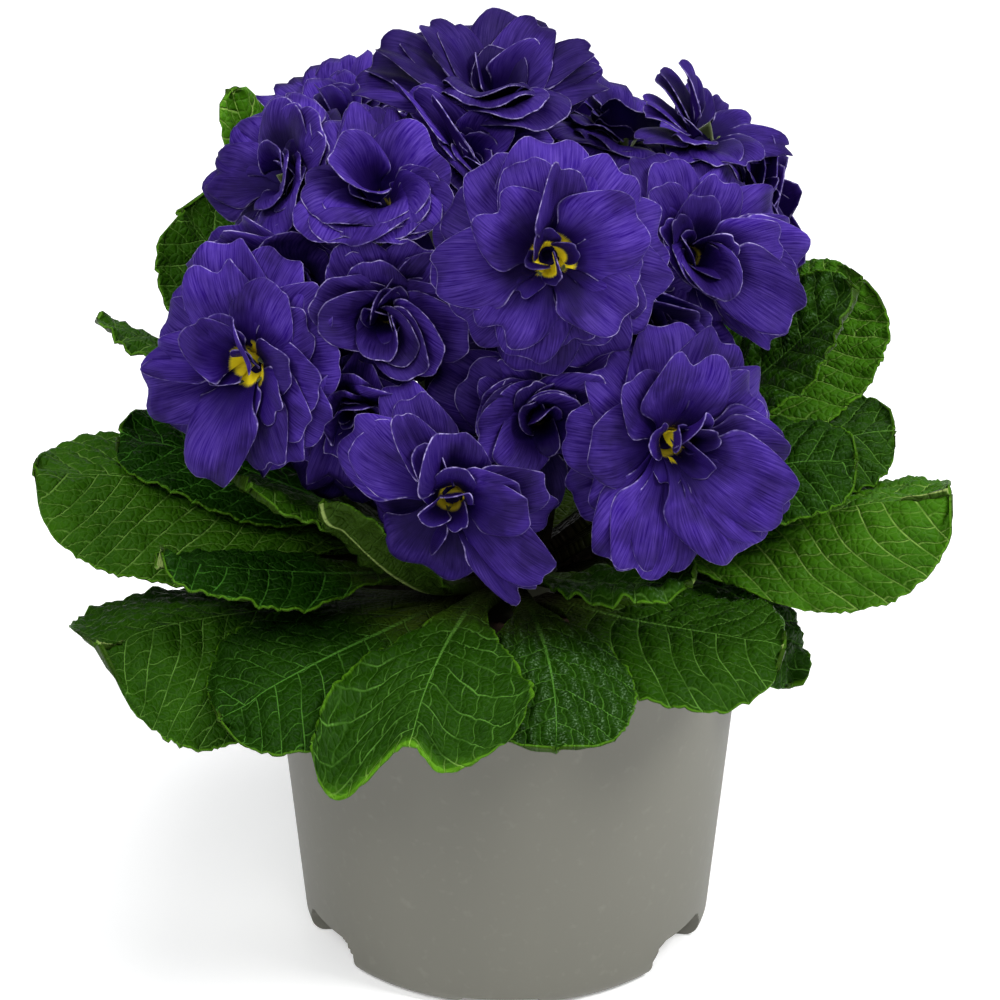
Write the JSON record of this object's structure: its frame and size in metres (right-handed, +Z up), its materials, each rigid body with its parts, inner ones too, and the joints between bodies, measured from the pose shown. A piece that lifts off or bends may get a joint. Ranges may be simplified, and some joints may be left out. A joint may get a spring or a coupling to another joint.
{
  "type": "potted double primrose",
  "caption": "Double-flowered primrose with violet blooms and crinkled leaves, growing in a small tapered grey plastic nursery pot.",
  "frame": {"origin": "centre of the pot's flat underside, on the surface that it stands on", "axes": "+Z up along the pot's axis; the side with the most open blooms faces -Y, and +X is to its right"},
  "size_m": [0.1971, 0.1723, 0.2023],
  "materials": {
    "pot": "satin",
    "soil": "matte",
    "stalk": "satin",
    "leaf": "satin",
    "petal": "matte"
  },
  "bodies": {
    "root": {"pot": "pot", "soil": "soil", "crown_and_stalks": "stalk", "leaf_left_long": "leaf", "leaf_left_low": "leaf", "leaf_front_left": "leaf", "leaf_front": "leaf", "leaf_front_right": "leaf", "leaf_right_front": "leaf", "leaf_right_hanging": "leaf", "leaf_right_long": "leaf", "leaf_right_mid": "leaf", "leaf_right_inner": "leaf", "leaf_right_folded": "leaf", "leaf_right_tall": "leaf", "leaf_left_upper": "leaf", "leaf_left_shaded": "leaf", "leaf_left_edge_on": "leaf", "leaf_left_upright": "leaf", "leaf_left_back_tall": "leaf", "leaf_left_curled": "leaf", "leaf_left_young": "leaf", "leaf_right_young": "leaf", "leaf_inner_tall": "leaf", "leaf_rear_right": "leaf", "leaf_rear_right_low": "leaf", "leaf_rear": "leaf", "leaf_rear_left_low": "leaf", "leaf_rear_left": "leaf", "leaf_left_rear_low": "leaf", "bloom_centre": "petal", "bloom_left": "petal", "bloom_right_low": "petal", "bloom_front_low": "petal", "bloom_middle": "petal", "bloom_right": "petal", "bloom_upper_left": "petal", "bloom_top": "petal", "bloom_shaded": "petal", "bloom_left_high": "petal", "bloom_back_left": "petal", "bloom_back_right": "petal", "bloom_opening": "petal", "bloom_right_edge": "petal", "bloom_inner": "petal", "bloom_left_deep": "petal", "bloom_left_inner": "petal", "bloom_right_deep": "petal", "bloom_rear": "petal", "bloom_rear_left": "petal", "bloom_rear_right": "petal"}
  },
  "joints": []
}
